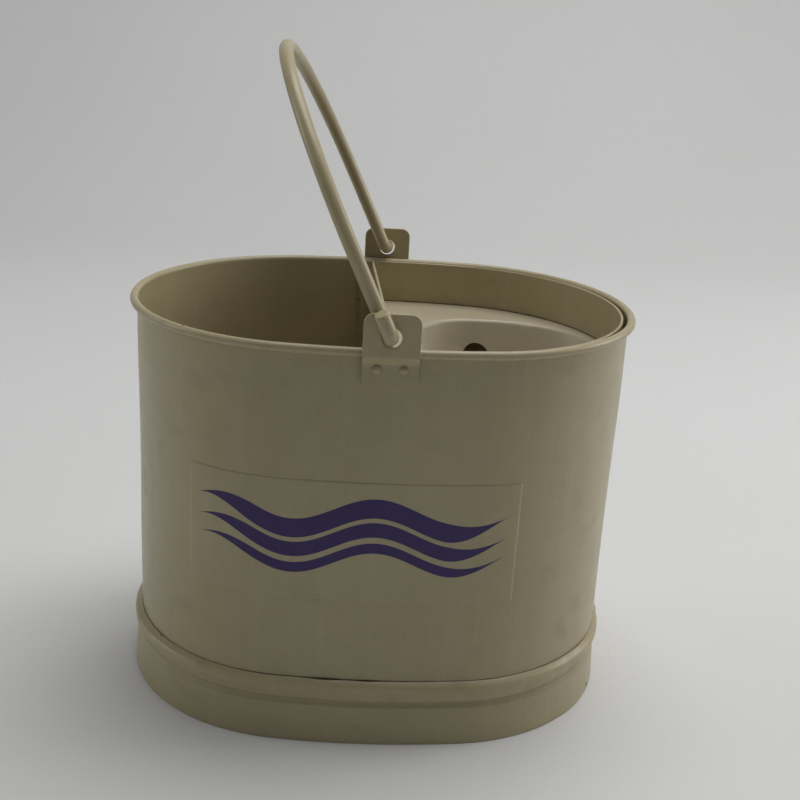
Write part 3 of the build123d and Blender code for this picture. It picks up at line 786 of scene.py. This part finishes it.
# %% The enamel's layers
def enamel_coat(paint, grime=0.12, chips=0.5, creases=(), crease_depth=0.75, spots=(), tone=(0, 0, 0)):
    """Colour, roughness and bump heights of the enamel. The film uses them too, for what it covers."""
    cloud = paint.step(paint.noise(0.11, detail=3), 0.3, 0.7)
    mottle = paint.step(paint.noise(0.016, detail=4, offset=3.1), 0.35, 0.75)
    run = paint.step(paint.noise(0.007, detail=2, stretch=(1, 1, 16), offset=5.7), 0.45, 0.8)
    # The tone added here lifts both shades; on the tray it is painted light.
    main, dark = (linear(*np.add(shade, tone)) for shade in (PUTTY, PUTTY_DARK))
    colour = paint.mix(cloud * 0.4 + mottle * 0.25, main, dark)
    colour = paint.mix(run * 0.22, colour, PUTTY_LIGHT)
    dust = paint.step(paint.noise(0.0011, detail=1, offset=9.3), 0.67, 0.76)
    colour = paint.mix(dust * 0.3, colour, GRIME_AND_SHADE)
    smear = paint.step(paint.noise(0.034, detail=5, stretch=(1, 1, 0.6), offset=1.7), 0.56, 0.8)
    colour = paint.mix(smear * grime, colour, GRIME_AND_SHADE)
    scuff = paint.step(paint.noise(0.0009, detail=1, stretch=(28, 28, 1), offset=7.9), 0.66, 0.74)
    scuff = scuff * paint.step(paint.noise(0.03, detail=2, offset=2.3), 0.5, 0.62)
    colour = paint.mix(scuff * 0.25, colour, PUTTY_LIGHT)
    # Painted shade: the creases are darkened towards the grime colour.
    if creases:
        colour = paint.mix(crease_painted_shade(paint, creases) * crease_depth, colour, GRIME_AND_SHADE)
    exposed = paint.node("ShaderNodeAttribute", {"attribute_name": "wear"}).out("Fac")
    limit = 0.86 - exposed * 0.17
    knocks = paint.step(paint.noise(0.0032, detail=3, offset=4.4) - limit, 0.0, 0.025)
    chip = paint.math("MINIMUM", knocks * paint.step(exposed, 0.05, 0.4) * chips * 2, 1.0)
    if spots:
        chip = paint.math("MAXIMUM", chip, knocked_spots(paint, spots))
    colour = paint.mix(chip * 0.9, colour, STEEL)
    rough = 0.36 + mottle * 0.06 + smear * 0.14 + scuff * 0.16 + chip * 0.25
    peel = paint.noise(0.0021, detail=2, offset=6.2)
    return colour, rough, [(peel, 0.00008), (1.0 - chip, 0.00015), (1.0 - dust, 0.00003)]


def enamel(name, **layers):
    paint = Paint(name)
    colour, rough, bumps = enamel_coat(paint, **layers)
    inputs = {"Base Color": colour, "Roughness": rough, "Specular IOR Level": 0.5}
    return paint.finish({**inputs, "Coat Weight": 0.12, "Coat Roughness": 0.18}, bumps)


# %% [markdown]
# The creases are real heights: where the hoop's lip meets the wall, the hoop's waist under its bead, and
# the corner where the wringer's ledge meets its collar. The tray's coat is painted paler and cooler than the
# rest, as painted light on the ledge and the bowl.

# %% The enamels
ledge_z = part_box("wringer_tray")[1].z
WALL_CHIPS = ((0.1591, -0.0333, 0.0545, 0.0016), (0.1600, -0.0270, 0.0600, 0.0009))
HOOP_CHIPS = ((0.1585, -0.0480, 0.0040, 0.0024), (0.1560, -0.0560, 0.0020, 0.0014))
putty = enamel("putty_enamel")
# The wall, the hoop and the collar get painted shade along their creases.
putty_wall = enamel("putty_enamel_wall", creases=((HOOP_TOP, 0.8 * MM),), spots=WALL_CHIPS)
waist = (30.3 * MM, 0.7 * MM)
putty_hoop = enamel("putty_enamel_hoop", grime=0.2, creases=(waist,), crease_depth=0.3, spots=HOOP_CHIPS)
putty_inside = enamel("putty_enamel_inside", grime=0.28)
# Painted light: a lighter copy of the enamel for the ledge and the bowl.
putty_tray_lit = enamel("putty_enamel_tray_lit", grime=0.15, tone=(9, 11, 22))
putty_collar = enamel("putty_enamel_collar", grime=0.28, creases=((ledge_z, 1.1 * MM),))
print("enamel nodes:", len(putty.node_tree.nodes))

# %% [markdown]
# ## Printed film
#
# Under the film the enamel hardly changes: the film is clear, and only its gloss and its cut edge show.
# The print is a plain water motif, three ribbons that flow one under the other, in one dark violet ink.
# It is a formula in the film's own map: a ribbon is where the height above its wavy middle line is less
# than its half width.

# %% The film and its print
VIOLET = linear(46, 12, 100)
VIOLET_DEEP = linear(36, 8, 82)
WAVE_PITCH, WAVE_RISE = 0.105, 0.008
RIBBONS = ((0.056, 0.0065), (0.0415, 0.005), (0.029, 0.0035))  # height of the middle line, half width


def print_mask(paint, u, v):
    """1 on the ink: |v - middle - rise * sin(2 pi u / pitch + 0.4)| under the half width, which tapers to
    nothing at both ends of the film."""
    ends = paint.step(u, 0.006, 0.05) * paint.step(film_length - u, 0.006, 0.05)
    wave = paint.math("SINE", u * (2 * pi / WAVE_PITCH) + 0.4) * WAVE_RISE
    mask = 0.0
    for middle, half in RIBBONS:
        off = paint.math("ABSOLUTE", v - middle - wave)
        mask = paint.math("MAXIMUM", mask, paint.step(ends * half - off, -0.0001, 0.0001))
    return mask


def printed_film(name):
    paint = Paint(name)
    colour, _, _ = enamel_coat(paint)
    flat = paint.node("ShaderNodeUVMap", {"uv_map": "print"})
    parts = paint.node("ShaderNodeSeparateXYZ", {}, {0: flat})
    u, v = parts.out("X"), parts.out("Y")
    haze = paint.mix(0.04, colour, linear(196, 190, 172))
    ink = paint.mix(paint.noise(0.02, detail=3), VIOLET, VIOLET_DEEP)
    mask = print_mask(paint, u, v)
    colour = paint.mix(mask, haze, ink)
    wrinkle = paint.noise(0.018, detail=2, stretch=(1.6, 1.6, 1), offset=8.8)
    rough = 0.34 + paint.noise(0.012, detail=3, offset=2.9) * 0.12 + mask * 0.04
    fine = paint.noise(0.0035, offset=1.1)
    inputs = {"Base Color": colour, "Roughness": rough, "Coat Weight": 0.08, "Coat Roughness": 0.3}
    return paint.finish(inputs, [(wrinkle, 0.00015), (fine, 0.00003), (mask, 0.00002)])


film_finish = printed_film("clear_film_printed")

# %% [markdown]
# ## Drawn wire
#
# The wire inside the rim is bare drawn steel. It only shows where the curl doesn't quite close, but it
# gets its die lines and a trace of rust all the same.

# %% Bare wire
def drawn_wire(name):
    paint = Paint(name)
    lines = paint.noise(0.0006, detail=2, stretch=(12, 12, 1))
    rust = paint.step(paint.noise(0.006, detail=4, offset=5.0), 0.55, 0.75)
    colour = paint.mix(lines, linear(120, 118, 112), linear(168, 166, 160))
    colour = paint.mix(rust * 0.7, colour, linear(104, 66, 40))
    rough = 0.32 + rust * 0.4 + lines * 0.1
    inputs = {"Base Color": colour, "Metallic": 1.0 - rust * 0.8, "Roughness": rough}
    return paint.finish(inputs, [(lines, 0.00002)])


wire_finish = drawn_wire("drawn_wire")

# %% Give every piece its finish
FINISHES = {
    "bucket_wall_rolled": putty_wall,
    "foot_hoop_swaged": putty_hoop,
    "label_film_bent": film_finish,
    "rim_wire": wire_finish,
    "wringer_tray": putty_tray_lit,
    "wringer_collar": putty_collar,
    "wringer_divider": putty_inside,
    "base_pan": putty_inside,
}
pieces = [thing for thing in bpy.context.scene.objects if thing.type == "MESH"]
for piece in pieces:
    piece.data.materials.clear()
    piece.data.materials.append(FINISHES.get(piece.name, putty))
print(len(pieces), "pieces have a finish")

# %% [markdown]
# ## Floor and backdrop
#
# The bucket stands on a plain pale board that curves up behind it, so there is no horizon line. It is a
# profile again: flat, a quarter round, then upright, carried sideways.

# %% The stage
FLOOR_HALF = 3.0
BACK_Y = 2.1
SWEEP_RADIUS = 0.7
bend = np.linspace(0, pi / 2, 24)
profile = np.vstack([
    np.stack([np.linspace(-3.0, BACK_Y - SWEEP_RADIUS, 40), np.zeros(40)], 1),
    np.stack([BACK_Y - SWEEP_RADIUS + SWEEP_RADIUS * np.sin(bend), SWEEP_RADIUS * (1 - np.cos(bend))], 1)[1:],
    [(BACK_Y, 3.0)],
])
across_x = np.linspace(-FLOOR_HALF, FLOOR_HALF, 30)
places = np.zeros((len(profile), len(across_x), 3))
places[..., 0] = across_x
places[..., 1] = profile[:, :1]
places[..., 2] = profile[:, 1:]
board_mesh = bpy.data.meshes.new("board")
board_faces = grid_faces(*places.shape[:2], wrap_rows=False, wrap_columns=False)
board_mesh.from_pydata(places.reshape(-1, 3), [], board_faces)
board_mesh.flip_normals()
board_mesh.shade_smooth()
board = bpy.data.objects.new("board", board_mesh)
bpy.context.scene.collection.objects.link(board)

board_paint = Paint("pale_board")
soft = board_paint.noise(0.35, detail=3)
grain = board_paint.noise(0.004, detail=3, offset=2.0)
marks = board_paint.step(board_paint.noise(0.012, detail=5, offset=6.0), 0.64, 0.78)
board_colour = board_paint.mix(soft * 0.5 + grain * 0.2, linear(226, 226, 225), linear(219, 219, 217))
board_colour = board_paint.mix(marks * 0.12, board_colour, linear(190, 188, 182))
board.data.materials.append(
    board_paint.finish({"Base Color": board_colour, "Roughness": 0.62 + grain * 0.1}, [(grain, 0.0002)])
)

# %% [markdown]
# ## Camera and light
#
# The camera is a standard lens a little above the rim and just left of the middle, tipped by three
# degrees. The light is a big soft source overhead, a little to the right, so the side facing the camera
# lies in gentle shade, with the pale room filling it in.

# %% Camera
AZIMUTH, ELEVATION, ROLL = -0.05, 0.328, 0.058
CAMERA_PLACE = (-0.0271, -0.8301, 0.4803)
back = Vector((sin(AZIMUTH) * cos(ELEVATION), -cos(AZIMUTH) * cos(ELEVATION), sin(ELEVATION)))
right = Vector((cos(AZIMUTH), sin(AZIMUTH), 0))
up = back.cross(right)
rolled_right = right * cos(ROLL) + up * sin(ROLL)
rolled_up = up * cos(ROLL) - right * sin(ROLL)
camera_data = bpy.data.cameras.new("camera")
camera_data.lens = 56.47
camera_data.sensor_width = 36
camera = bpy.data.objects.new("camera", camera_data)
bpy.context.scene.collection.objects.link(camera)
turned = Matrix((rolled_right, rolled_up, back)).transposed().to_4x4()
camera.matrix_world = Matrix.Translation(CAMERA_PLACE) @ turned
bpy.context.scene.camera = camera

# %% Light
def soft_light(name, place, target, size, power, colour=(1, 1, 1)):
    """A square area light at a place, facing a target."""
    data = bpy.data.lights.new(name, "AREA")
    data.size = size
    data.energy = power
    data.color = colour
    light = bpy.data.objects.new(name, data)
    light.location = place
    light.rotation_euler = (Vector(target) - Vector(place)).to_track_quat("-Z", "Y").to_euler()
    bpy.context.scene.collection.objects.link(light)


soft_light("ceiling", (0.4, 0.3, 2.3), (0, 0.1, 0), 1.7, 33)
soft_light("right_window", (2.2, 0.5, 1.0), (0, 0, 0.15), 1.2, 17)
soft_light("left_fill", (-2.3, 0.3, 0.9), (0, 0, 0.15), 1.2, 9)
world = bpy.data.worlds.new("room")
world.use_nodes = True
room = world.node_tree.nodes["Background"].inputs
room["Color"].default_value = (0.93, 0.96, 1.0, 1.0)
room["Strength"].default_value = 0.1
bpy.context.scene.world = world
bpy.context.scene.view_settings.view_transform = "Standard"
